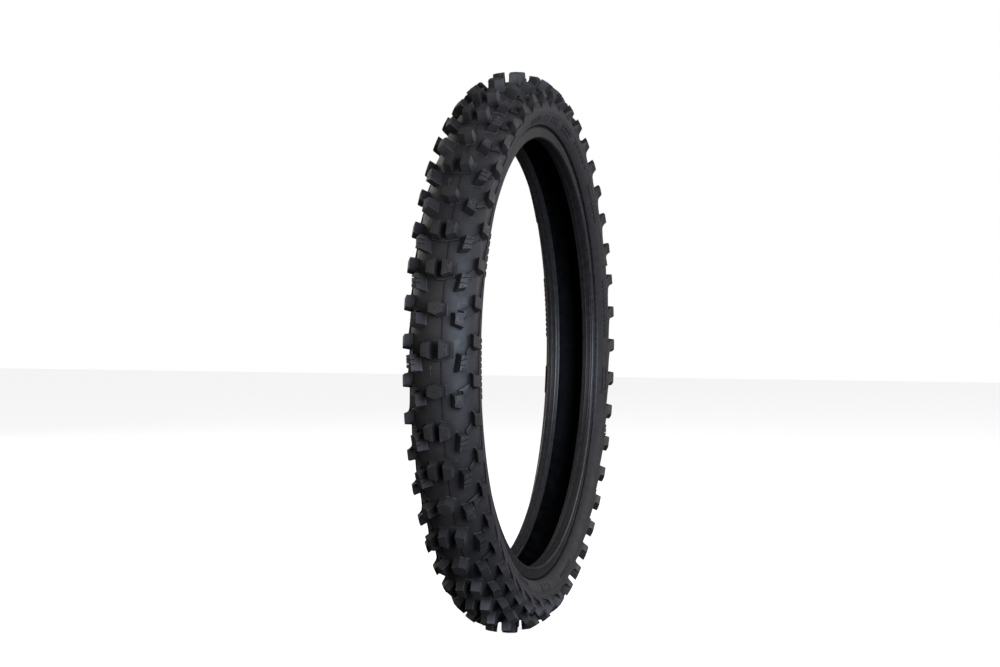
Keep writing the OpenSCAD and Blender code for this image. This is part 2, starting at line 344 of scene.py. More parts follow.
def rounded(outline, radius):
    """Rounds the corners of an outline. Gives its points and the outward normals there."""
    corners = np.array(outline, float)
    points = []
    for i, c in enumerate(corners):
        back, ahead = corners[i - 1] - c, corners[(i + 1) % len(corners)] - c
        back /= np.hypot(*back)
        ahead /= np.hypot(*ahead)
        half = math.acos(max(-1, min(1, back @ ahead))) / 2
        set_off = min(radius / math.tan(half), LONGEST_ROUNDING)
        a, b = c + back * set_off, c + ahead * set_off
        for t in np.linspace(0, 1, ROUNDING_STEPS + 1):
            points.append(curve(a, c, b, t))
    points = np.array(points)
    return points, outward_normals(points)


class Stand:
    """The local frame of a knob: out along the top arc's normal, across, and round the tyre.
    Spread is how much wider the block is at its foot, as a share."""

    def __init__(self, y, tilted=True, spread=0.14):
        self.tilt = math.asin(y / OUTER_TOP_R) if tilted else 0.0
        start = OUTER_TOP_C + OUTER_TOP_R * math.cos(self.tilt) if tilted else TOP_R
        self.origin = np.array([start, y, 0.0])
        c, s = math.cos(self.tilt), math.sin(self.tilt)
        self.axes = np.array([[c, s, 0], [-s, c, 0], [0, 0, 1.0]])
        self.spread = spread

    def place(self, out, across, around_):
        """Local coordinates to the tyre's, without any taper."""
        local = np.stack(np.broadcast_arrays(out, across, around_), -1)
        return self.origin + local @ self.axes

    def wall(self, outline, out):
        """The tapered block's wall, at a distance out from the top arc."""
        scale = 1 - self.spread * np.asarray(out) / KNOB_H
        return self.place(out, outline[:, 1] * scale, outline[:, 0] * scale)

    def meet(self, outline, radius_at):
        """Where the block's walls cross a surface of revolution, found by halving."""
        low = np.full(len(outline), -KNOB_H - SEARCH_BELOW)
        high = np.full(len(outline), SEARCH_ABOVE)
        for _ in range(HALVINGS):
            mid = (low + high) / 2
            p = self.wall(outline, mid)
            above = np.hypot(p[:, 0], p[:, 2]) > radius_at(p[:, 1])
            high = np.where(above, mid, high)
            low = np.where(above, low, mid)
        return self.wall(outline, (low + high) / 2)


def onto(points, radius_at, lift=0.0):
    """Moves points straight in or out to a surface of revolution."""
    r = np.hypot(points[:, 0], points[:, 2])
    scale = (radius_at(points[:, 1]) + lift) / r
    return np.column_stack([points[:, 0] * scale, points[:, 1], points[:, 2] * scale])


def closed_rings(rings, low_centre, high_centre):
    """A closed shell through rings of equal count, capped by a point at each end."""
    count = len(rings[0])
    points = np.vstack(rings + [low_centre[None], high_centre[None]])
    faces = grid_faces(len(rings), count, wrap_cols=True)
    low, high = len(points) - 2, len(points) - 1
    last = (len(rings) - 1) * count
    for j in range(count):
        k = (j + 1) % count
        faces.append((j, k, low))
        faces.append((last + k, last + j, high))
    return points, faces


SINK = 0.03
KNOB_ROOT = 1.5
EDGE_BEVEL = 0.45


def wall_rings(buried, skirt, foot, rise, edge, top, rim):
    """The rings of a moulded wall: root, fillet, wall and rounded top edge."""
    return [buried, skirt, curve(skirt, foot, rise, 0.33), curve(skirt, foot, rise, 0.67), rise,
            edge, curve(edge, top, rim, 0.5), rim]


def knob(outline, stand, top_at, corner=0.8, bevel=EDGE_BEVEL, fillet=1.5):
    """A moulded knob: fillet at the foot, drafted walls, rounded top edges and an arched top."""
    flat, normal = rounded(outline, corner)
    top = stand.meet(flat, top_at)
    foot = stand.meet(flat, crown_radius)
    out = np.column_stack([np.zeros(len(flat)), normal[:, 1], normal[:, 0]]) @ stand.axes
    up = top - foot
    up /= np.linalg.norm(up, axis=1)[:, None]
    skirt = onto(foot + out * fillet, crown_radius, -SINK)
    buried = onto(foot + out * fillet, crown_radius, -KNOB_ROOT)
    rim = onto(top - out * bevel, top_at)
    centre = onto(rim.mean(0)[None], top_at)[0]
    half = onto(rim * 0.5 + centre * 0.5, top_at)
    rings = wall_rings(buried, skirt, foot, foot + up * fillet, top - up * bevel, top, rim)
    return closed_rings(rings + [half], buried.mean(0), centre)


def prism(stand, corners, low, high):
    """A straight cutter between two heights out from the top arc."""
    corners = np.array(corners, float)
    rings = [stand.place(h, corners[:, 1], corners[:, 0]) for h in (low, high)]
    return closed_rings(rings, rings[0].mean(0), rings[1].mean(0))


VENT_R = 0.65
VENT_DEPTH = 1.3
CLEAR_ABOVE = 2


def vent(stand, round_, across, top_at):
    """A cutter for a vent mark's small round pit in the top of a knob."""
    a = np.linspace(0, 2 * math.pi, 9)[:-1]
    spot = np.column_stack([round_ + VENT_R * np.cos(a), across + VENT_R * np.sin(a)])
    mouth = stand.place(0.0, across, round_)[None]
    surface = onto(mouth, top_at)[0]
    level = (surface - mouth[0]) @ stand.axes[0]
    return prism(stand, spot, level - VENT_DEPTH, level + CLEAR_ABOVE)


def sipe(stand, a, b):
    """A cutter for a sipe, from one [round, across] point to another."""
    a, b = np.array(a, float), np.array(b, float)
    run = (b - a) / np.hypot(*(b - a))
    side = np.array([-run[1], run[0]]) * SIPE_W / 2
    return prism(stand, [a - side, b - side, b + side, a + side], -SIPE_DEPTH, SIPE_TOP)


# ---- Tread base ----
PARTING_Y = 5.4
PARTING_W = 0.8
PARTING_TOP = (-0.15, 0.1)
PARTING_H = 1.2


def tread_base():
    """The crown rubber, with the mould's parting line as a fine ridge beside the centre."""
    edge = arc(SHOULDER_C, SHOULDER_ARC_R, CROWN_END, TREAD_EDGE)
    outer = both_sides(join(arc(CROWN_C, CROWN_ARC_R, 90, CROWN_END), edge))
    parting = np.array([[-PARTING_W, 0], [PARTING_TOP[0], PARTING_H],
                        [PARTING_TOP[1], PARTING_H], [PARTING_W / 2, 0]])
    parting[:, 0] += PARTING_Y
    parting[:, 1] += crown_radius(parting[:, 0])
    before, after = outer[outer[:, 0] < parting[0, 0]], outer[outer[:, 0] > parting[-1, 0]]
    outer = np.vstack([before, parting, after])
    under = inner_path(STRIPS_T, STRIP_END)
    rim = arc(IN_SHOULDER_C, IN_SHOULDER_R + SKIN_T, STRIP_END, TREAD_EDGE)
    inner = both_sides(np.vstack([under, rim]))
    return revolve(np.vstack([outer, inner[::-1]]))


# ---- Centre knobs: outlines are [round, across] points of the top ----
SINGLE_OUT = [[-8.2, 0], [-4.8, 8.5], [4.8, 8.5], [8.2, 0], [4.8, -8.5], [-4.8, -8.5]]
HALF_TOP_W = 10.4
# Half the length round of a split block's top, beside its groove and at its outer end
LONG_IN, LONG_OUT = 10.1, 6.3
HALF_OUT = [[-LONG_IN, -HALF_TOP_W / 2], [-LONG_OUT, HALF_TOP_W / 2],
            [LONG_OUT, HALF_TOP_W / 2], [LONG_IN, -HALF_TOP_W / 2]]
HALF_VENTS = [[-4.2, 2.6], [4.2, 2.6]]
GROOVES = {PAIR: 8.8, LONE: 11}
PLINTH_H = 2.6
PLINTH_MARGIN = 1.5
PLINTH_SPREAD = {"across": 1.03, "round": 1.12}
PLINTH_END = 3.0


def centre_knobs_single():
    stand = Stand(0, tilted=False)
    body = knob(SINGLE_OUT, stand, centre_top_radius)
    body = cut(body, [vent(stand, 0, 0, centre_top_radius)])
    return around(body, row_turns(SINGLE))


def split_block(kind):
    """Two halves either side of a groove, on a low shared plinth."""
    middle = GROOVES[kind] / 2 + HALF_TOP_W / 2
    stand = Stand(0, tilted=False)
    stand.origin[1] = middle
    half = knob(HALF_OUT, stand, centre_top_radius, fillet=1.0)
    half = cut(half, [vent(stand, u, v, centre_top_radius) for u, v in HALF_VENTS])
    wide = (middle + HALF_TOP_W / 2) * PLINTH_SPREAD["across"] + PLINTH_MARGIN
    long_in, long_out = (length * PLINTH_SPREAD["round"] + PLINTH_MARGIN
                         for length in (LONG_IN, LONG_OUT))
    outline = [[-long_out, wide], [long_out, wide], [long_in, PLINTH_END], [long_in, -PLINTH_END],
               [long_out, -wide], [-long_out, -wide], [-long_in, -PLINTH_END],
               [-long_in, PLINTH_END]]
    low = Stand(0, tilted=False, spread=0.0)
    plinth = knob(outline, low, lambda y: crown_radius(y) + PLINTH_H, bevel=0.4, fillet=0.9)
    return stack([half, on_side(half, LEFT), plinth])


def centre_knobs_split():
    return stack([around(split_block(kind), row_turns(kind)) for kind in (PAIR, LONE)])


# ---- Intermediate knobs ----
SIPED_OUT = [[-9.7, -6.7], [-6.4, 4.6], [-1.8, 4.3], [7.8, 5.9], [9.3, -3.6]]
SIPED_Y = {PAIR: 30.7, LONE: 34.1}
SIPED_TURN = -2.45
SIPE_W = 0.95
SIPE_DEPTH, SIPE_TOP = 5.5, 4
SIPES = [([2.0, -8], [5.9, 8]), ([-2.6, -8], [-2.2, 8])]
SIPED_VENTS = [[-6.6, -2.2], [6.6, 1.5]]
BOWTIE_OUT = [[-4.8, -5.7], [-8.5, 6.0], [1.8, 4.7], [8.0, 5.4], [7.6, -5.5], [1.5, -5.1]]
BOWTIE_Y = 28.2
BOWTIE_TURN = -2.1
BOWTIE_VENTS = [[-5.6, 3.4], [-3.2, -3.4], [5.8, 3.2], [5.6, -3.4], [0.6, 0.2]]


def siped_knobs():
    shells = []
    for kind, y in SIPED_Y.items():
        stand = Stand(y)
        cutters = [sipe(stand, a, b) for a, b in SIPES]
        cutters += [vent(stand, u, v, outer_top_radius) for u, v in SIPED_VENTS]
        proto = cut(knob(SIPED_OUT, stand, outer_top_radius), cutters)
        shells.append(around(proto, [t + SIPED_TURN for t in row_turns(kind)]))
    return stack(shells)


def bowtie_knobs():
    stand = Stand(BOWTIE_Y)
    body = knob(BOWTIE_OUT, stand, outer_top_radius)
    body = cut(body, [vent(stand, u, v, outer_top_radius) for u, v in BOWTIE_VENTS])
    return around(body, [t + BOWTIE_TURN for t in row_turns(SINGLE)])


# ---- Tie bars: corners are [degrees round from the row, axial] points ----
TIE_H = 3.4
TIE_EDGE = 0.3
TIE_FILLET = 0.95
TIE_Y = 31
TIE_GAP_Y = 35.5
TIES = {
    PAIR: [[-1.5, 29.5], [-0.1, TIE_GAP_Y], [1.5, TIE_GAP_Y], [-0.4, 27.6]],
    LONE: [[-1.5, 32.0], [-0.4, TIE_GAP_Y], [1.5, TIE_GAP_Y], [-0.3, 30.2]],
    SINGLE: [[-1.6, 27.4], [-0.4, TIE_GAP_Y], [1.5, TIE_GAP_Y], [-0.1, 21.3], [-0.2, 27.2]],
}


def tie_bars():
    """Low bars with soft edges, which run under the knobs at both ends."""
    stand = Stand(TIE_Y, spread=0.0)
    level = stand.origin[0]
    shells = []
    for kind, corners in TIES.items():
        outline = []
        for turn, y in corners:
            r = crown_radius(y)
            across = (y - TIE_Y) * math.cos(stand.tilt) - (r - level) * math.sin(stand.tilt)
            outline.append([math.radians(turn) * r, across])
        proto = knob(outline, stand, lambda y: crown_radius(y) + TIE_H, TIE_EDGE, TIE_EDGE,
                     TIE_FILLET)
        shells.append(around(proto, row_turns(kind)))
    return stack(shells)


# ---- Shoulder knobs, which run down into buttresses on the sidewall ----
# Stations run from a knob's inner top edge, over its tip and down its outer wall, the fall.
# Their edges are in degrees round from the knob's row, and the fall's heights are off the casing.
TIP_ANGLES = (34.5, 22.9)
TOP_ENDS = (0.6, 0.7)
TOP_STATIONS = 5
TIP_SOFTNESS = (0.22, 0.56, 0.22)
FOOT_IN = CROWN_ARC_R * math.radians(90 - 39.4)
FOOT_TIP = 45.2
CORNER_CUT = 0.08
INNER_EDGES = (0.91, 3.29)
TIP_EDGES = (0.26, 2.61)
FALL_S = [46.0, 47.0, 48.2, 49.5, 50.8, 52.1, 53.4, 54.8, 56.4, 58.0, 59.2]
FALL_H = [8.8, 7.1, 5.3, 3.8, 2.7, 2.0, 1.5, 1.1, 0.8, 0.45, 0.15]
FALL_BACK = [0.3, 0.38, 0.5, 0.66, 0.84, 1.0, 1.1, 1.12, 1.12, 1.12, 1.12]
FALL_AHEAD = [2.64, 2.7, 2.8, 3.0, 3.5, 4.8, 7.0, 9.2, 9.25, 9.25, 9.25]
SHOULDER_DRAFT = 0.16
SHOULDER_FILLET = 1.3
FILLET_SHARE, BEVEL_SHARE = 0.4, 0.25
INNER_BEVEL_SHARE = 0.75
SHOULDER_ROOT = 1.2
SHOULDER_COLS = 6


def shoulder_stations():
    """Skin points, ground distances and edge angles of every station."""
    inner_angle, tip_angle = TIP_ANGLES
    top_angles = np.linspace(inner_angle - TOP_ENDS[0], tip_angle + TOP_ENDS[1], TOP_STATIONS)
    inner, *top, tip = [arc((0, OUTER_TOP_C), OUTER_TOP_R, a, a)[0]
                        for a in [inner_angle, *top_angles, tip_angle]]
    fall = outside(FALL_S, np.array(FALL_H))
    before, at_tip, after = TIP_SOFTNESS
    soft_tip = before * top[-1] + at_tip * tip + after * fall[0]
    skin = np.vstack([[inner], top, [soft_tip], fall])
    share = np.linspace(0, 1, len(top) + 2)
    ground = np.r_[FOOT_IN + share * (FOOT_TIP - FOOT_IN), FALL_S]
    back = np.r_[INNER_EDGES[0] + share * (TIP_EDGES[0] - INNER_EDGES[0]), FALL_BACK]
    ahead = np.r_[INNER_EDGES[1] + share * (TIP_EDGES[1] - INNER_EDGES[1]), FALL_AHEAD]
    back[0] += CORNER_CUT
    ahead[0] -= CORNER_CUT
    return skin, ground, back, ahead


def polar(section, angle):
    """Section points turned to angles in degrees round the axle."""
    a = np.radians(angle)
    return np.column_stack([section[:, 1] * np.cos(a), section[:, 0], section[:, 1] * np.sin(a)])


def border(rows, cols):
    """Row and column of every point round the edge of a grid, from one corner."""
    there = [(j, 0) for j in range(rows)] + [(rows - 1, c) for c in range(1, cols)]
    back = [(j, cols) for j in range(rows - 1, -1, -1)] + [(0, c) for c in range(cols - 1, 0, -1)]
    return there + back


def filled_face(points, start, outline, section, a, b):
    """Closes a ring of points over its grid. Gives the points added to and the quads."""
    rows, cols = len(section), SHOULDER_COLS
    index = np.full((rows, cols + 1), -1)
    for i, (j, c) in enumerate(outline):
        index[j, c] = start + i
    for j in range(1, rows - 1):
        for c in range(1, cols):
            index[j, c] = len(points)
            angle = a[j] + (b[j] - a[j]) * c / cols
            points = np.vstack([points, polar(section[j:j + 1], angle)])
    quads = [(index[j, c], index[j, c + 1], index[j + 1, c + 1], index[j + 1, c])
             for j in range(rows - 1) for c in range(cols)]
    return points, [tuple(int(i) for i in quad) for quad in quads]


def shoulder_knob():
    """Walls follow an outline from fillet to bevel; a grid of stations closes the skin."""
    skin, ground, back, ahead = shoulder_stations()
    height = np.hypot(*(skin - outside(ground)).T)
    flare = np.degrees(SHOULDER_DRAFT * height / skin[:, 1])
    foot_back, foot_ahead = back - flare, ahead + flare
    outline = border(len(skin), SHOULDER_COLS)
    station = np.array([j for j, c in outline])
    share = np.array([c / SHOULDER_COLS for j, c in outline])

    def at_angle(a, b):
        return a[station] * (1 - share) + b[station] * share

    foot_a = at_angle(foot_back, foot_ahead)
    flat = np.column_stack([np.radians(foot_a) * WIDE_R, ground[station]])
    normal = outward_normals(flat)
    fillet = np.minimum(SHOULDER_FILLET, FILLET_SHARE * height)[station]
    bevel = np.minimum(EDGE_BEVEL, BEVEL_SHARE * height)
    skirt_s = flat[:, 1] + normal[:, 1] * fillet
    skirt_a = foot_a + np.degrees(normal[:, 0] * fillet / WIDE_R)
    buried = polar(outside(skirt_s, -SHOULDER_ROOT), skirt_a)
    skirt = polar(outside(skirt_s, -SINK), skirt_a)
    foot = polar(outside(ground[station]), foot_a)
    top = polar(skin[station], at_angle(back, ahead))
    up = top - foot
    up /= np.linalg.norm(up, axis=1)[:, None]
    rise, edge = foot + up * fillet[:, None], top - up * bevel[station][:, None]
    inset = np.degrees(bevel / skin[:, 1])
    rim_skin = skin.copy()
    rim_skin[0] = skin[0] + (skin[1] - skin[0]) * INNER_BEVEL_SHARE
    rim = polar(rim_skin[station], at_angle(back + inset, ahead - inset))
    rings = wall_rings(buried, skirt, foot, rise, edge, top, rim)
    faces = grid_faces(len(rings), len(outline), wrap_cols=True)
    points = np.vstack(rings)
    root, last = outside(ground, -SHOULDER_ROOT), (len(rings) - 1) * len(outline)
    for cap in ((0, outline, root, foot_back, foot_ahead),
                (last, outline, rim_skin, back + inset, ahead - inset)):
        points, quads = filled_face(points, *cap)
        faces += quads
    return points, faces


def shoulder_knobs():
    return around(shoulder_knob(), row_turns(SINGLE, PAIR, LONE))


# ---- Raised marks on the casing ----
MARK_H = 0.9
MARK_EDGE = 0.15
MARK_EDGE_DROP = 0.12
MARK_ROOT = -0.5
ARROW_ROWS = (4.5, 9.5)
ARROW_S = 8.0
ARROW_STEM = (-1.3, 0.1)
ARROW_STEM_HALF = 0.7
ARROW_HEAD_HALF = 3.4
ARROW_STEPS = 8
ARROW_STEP, ARROW_STEP_W = 0.13, 0.15


def bar(start, end, low, high, lean=0.0):
    """A raised bar on the casing between two angles round and two distances along the outside.
    Its far edge is leant round by an angle."""
    steps = max(1, math.ceil(abs(end - start)))
    s = np.array([low, low, low + MARK_EDGE, high - MARK_EDGE, high, high])
    shoulder = MARK_H - MARK_EDGE_DROP
    lift = np.array([MARK_ROOT, shoulder, MARK_H, MARK_H, shoulder, MARK_ROOT])
    section, share = outside(s, lift), (s - low) / (high - low)
    loops = [polar(section, angle + lean * share) for angle in np.linspace(start, end, steps + 1)]
    return closed_rings(loops, loops[0].mean(0), loops[-1].mean(0))


def frame_mark(start, end, low, high, line=0.7, end_width=1.0):
    """An outlined box with thick ends."""
    inner_low, inner_high = low + line * 0.5, high - line * 0.5
    return [bar(start, end, low, low + line), bar(start, end, high - line, high),
            bar(start, start + end_width, inner_low, inner_high),
            bar(end - end_width, end, inner_low, inner_high)]


def tick_row(start, step, count, low, high, width, lean):
    """Equal bars at a regular step round."""
    starts = [start + i * step for i in range(count)]
    return [bar(a, a + width, low, high, lean) for a in starts]


def arrow_mark(angle):
    """A generic direction arrow on the crown: a stem and a stepped head."""
    stem_start, stem_end = (angle + a for a in ARROW_STEM)
    parts = [bar(stem_start, stem_end, ARROW_S - ARROW_STEM_HALF, ARROW_S + ARROW_STEM_HALF)]
    for i in range(ARROW_STEPS):
        half = ARROW_HEAD_HALF * (1 - i / ARROW_STEPS)
        start = stem_end + i * ARROW_STEP
        parts.append(bar(start, start + ARROW_STEP_W, ARROW_S - half, ARROW_S + half))
    return parts


# ---- Sidewalls: places are distances along the outside, and a ring has a place and a width ----
SKIRT_IN, SKIRT_FULL, RING_S = 51.5, 55.5, 60.2
SKIRT_H = 0.35
RING_W = 0.35
GROOVE_S, GROOVE_W, GROOVE_DEPTH = RING_S + 0.75, 0.35, 0.25
FINE_RINGS = ((74.6, 0.3), (61.9, 0.25))
FINE_RING_H = 0.14
LABEL_S = (62.6, 72.0)


def ridge(x, middle, width):
    """A soft ridge of height one."""
    return np.exp(-((x - middle) / width) ** 2)


def sidewall_lift(s):
    """Height of the moulded surface over the plain casing: the skirt below the buttresses, its
    edge step and groove, and a fine raised ring either side of the label band."""
    skirt = SKIRT_H * smooth_step((s - SKIRT_IN) / (SKIRT_FULL - SKIRT_IN))
    skirt = skirt * (1 - smooth_step((s - RING_S) / RING_W))
    fine = sum(FINE_RING_H * ridge(s, middle, width) for middle, width in FINE_RINGS)
    return skirt - GROOVE_DEPTH * ridge(s, GROOVE_S, GROOVE_W) + fine


def sidewall():
    """The sidewall's rubber, with points gathered where its surface steps."""
    start, end = along_at(TREAD_EDGE), ALONG[-1]
    stretches = [np.linspace(start, end, 34), np.linspace(RING_S - 0.3, RING_S + 1.6, 11)]
    stretches += [np.linspace(middle - 2 * width, middle + 2 * width, 6)
                  for middle, width in FINE_RINGS]
    s = np.unique(np.concatenate(stretches))
    outer = outside(s, sidewall_lift(s))
    inner = np.vstack([arc(IN_SHOULDER_C, IN_SHOULDER_R + SKIN_T, TREAD_EDGE, 0, 4),
                       arc(LOWER_C, IN_LOWER_R + SKIN_T, 0, LOWER_END, 4)[1:]])
    return revolve(np.vstack([outer, inner[::-1]]))


def sidewall_marks():
    """Generic raised marks where a tyre carries its data: dashes, slanted bars and frames."""
    low, high = LABEL_S
    mid = (low + high) / 2
    parts = frame_mark(-92.6, -85.0, low + 0.6, high - 1.6)
    parts += tick_row(75, 1.5, 7, low + 0.8, mid - 0.5, 0.9, 0.25)
    parts += tick_row(76, 1.1, 8, mid + 0.5, high - 0.8, 0.6, -0.2)
    parts += frame_mark(87.5, 91.5, low + 1.0, high - 1.0, 0.6, 0.7)
    parts += tick_row(94, 1.7, 4, low + 0.8, high - 1.4, 1.0, 0.5)
    parts += tick_row(104, 1.2, 7, low + 0.6, mid - 1.0, 0.7, 0.2)
    parts += tick_row(104.5, 1.9, 4, mid + 0.4, high - 1.4, 1.3, 0.0)
    parts += tick_row(116, 2.2, 6, low + 0.8, low + 2.4, 1.4, 0.0)
    parts += tick_row(134, 1.4, 9, mid - 1.6, mid + 1.6, 0.8, 0.3)
    parts += tick_row(163, 1.3, 12, low + 1.2, mid + 0.6, 0.7, 0.3)
    parts += frame_mark(186, 193, low + 0.8, high - 2.0, 0.6, 0.8)
    parts += tick_row(-112, 1.3, 8, low + 1.2, mid + 0.5, 0.7, -0.3)
    parts += tick_row(-72, 1.6, 6, low + 1.0, mid + 0.8, 0.9, 0.3)
    parts += tick_row(-8, 1.4, 10, low + 1.0, mid + 0.6, 0.8, 0.3)
    parts += tick_row(20, 1.9, 6, mid - 0.6, high - 1.6, 1.2, 0.0)
    return parts


# ---- Beads: a seat rib has an axial place, a width and a height ----
NECK_R = 5
HEEL_R = 2.6
TOE_CUT = 1.2
WRAP_W = 6.7
CORE_Y = 24.3
PLY_T = 0.9
UNDER_T = 1.2
LEG_IN, LEG_OUT = CORE_Y - WRAP_W / 2, CORE_Y + WRAP_W / 2
PLY_FLOOR = SEAT_R + UNDER_T + PLY_T
LEG_TOP = PLY_FLOOR + WRAP_W + 1
RIM_LINE_R, RIM_LINE_W, RIM_LINE_DEPTH = 281.6, 0.55, 0.9
SEAT_MIDDLE = 23.5
SEAT_CROWN = 0.018
SEAT_RIBS = ((20.9, 0.9, 0.4), (26.7, 1.0, 0.5))
SEAT_TURN_Y, SEAT_TURN_W = 27, 1.8
TOE_ROUND = (0.35, 0.3)
FILLER_TOP = 2
BEND_STEPS = 12
PLY_PULL = [7, 4]
TURN_UP_PULL = [2.2, 1.3]
TURN_UP_RISE = 4


def lower_point(offset):
    """A point at the bottom end of the lower arc, off the casing's inner contour."""
    return arc(LOWER_C, IN_LOWER_R + offset, LOWER_END, LOWER_END)[0]


def bend(a, b, c):
    """A curved path from a to c that b pulls on."""
    t = np.linspace(0, 1, BEND_STEPS + 1)[:, None]
    return curve(np.array(a), np.array(b), np.array(c), t)


def moved_left(path, distance):
    """A path moved sideways, to the left of its direction."""
    run = np.gradient(path, axis=0)
    run /= np.hypot(*run.T)[:, None]
    return path + distance * np.column_stack([-run[:, 1], run[:, 0]])


PLY_START, SKIN_END = lower_point(LINER_T), lower_point(SKIN_T)
PLY_BEND = bend(PLY_START, PLY_START - PLY_PULL, [LEG_IN - PLY_T, LEG_TOP])
LINER_BEND = moved_left(PLY_BEND, -LINER_T)
TURN_UP = bend(SKIN_END, SKIN_END - TURN_UP_PULL, [LEG_OUT + 2 * PLY_T, LEG_TOP + TURN_UP_RISE])


def seat_path(start, end):
    """The bead seat's surface: slightly crowned, with two low ribs, and eased into the heel."""
    y = np.linspace(start, end, 44)[1:-1]
    ribs = sum(height * ridge(y, middle, width) for middle, width, height in SEAT_RIBS)
    crowned = SEAT_CROWN * (y - SEAT_MIDDLE) ** 2
    ends = SEAT_CROWN * (start - SEAT_MIDDLE) ** 2 * smooth_step((y - SEAT_TURN_Y) / SEAT_TURN_W)
    return np.column_stack([y, SEAT_R - ribs + np.where(y > SEAT_TURN_Y, crowned - ends, crowned)])


def rim_strip():
    """Rubber round the bead: a grooved neck, a rounded heel and a ribbed seat."""
    neck_way = math.radians(LOWER_END)
    neck_c = np.array(LOWER_C) + (LOWER_ARC_R + NECK_R) * np.array(
        [math.cos(neck_way), math.sin(neck_way)])
    neck = arc(neck_c, NECK_R, LOWER_END + 180, 180, 2.5)
    depth = RIM_LINE_DEPTH * ridge(neck[:, 1], RIM_LINE_R, RIM_LINE_W)
    neck = neck + (neck - neck_c) / NECK_R * depth[:, None]
    heel_c = (HEEL_Y - HEEL_R, SEAT_R + HEEL_R)
    flange = np.linspace(neck[-1], (HEEL_Y, heel_c[1]), 7)[1:-1]
    heel = arc(heel_c, HEEL_R, 0, -90, 9)
    seat_end = TOE_Y + TOE_CUT
    seat = seat_path(heel[-1, 0], seat_end)
    toe_r = SEAT_R + SEAT_CROWN * (seat_end - SEAT_MIDDLE) ** 2
    toe = np.array([[seat_end, toe_r], [TOE_Y + TOE_ROUND[0], toe_r + TOE_ROUND[1]],
                    [TOE_Y, toe_r + TOE_CUT]])
    back = np.array([LINER_BEND[-1], [LEG_IN - PLY_T, LEG_TOP], [LEG_IN - PLY_T, PLY_FLOOR - PLY_T],
                     [LEG_OUT + PLY_T, PLY_FLOOR - PLY_T],
                     [LEG_OUT + PLY_T, PLY_FLOOR + FILLER_TOP],
                     [LEG_OUT + 2 * PLY_T, PLY_FLOOR + FILLER_TOP]])
    return revolve(np.vstack([neck, flange, heel, seat, toe, back, TURN_UP[::-1]]))


def inner_liner():
    """The air-side lining from bead to bead."""
    outer = np.vstack([inner_path(LINER_T, 0),
                       arc(LOWER_C, IN_LOWER_R + LINER_T, 0, LOWER_END)[1:], PLY_BEND[1:]])
    air = np.vstack([inner_path(0, 0), arc(LOWER_C, IN_LOWER_R, 0, LOWER_END)[1:], LINER_BEND[1:]])
    return revolve(np.vstack([both_sides(outer), both_sides(air)[::-1]]), LINER_STEPS)


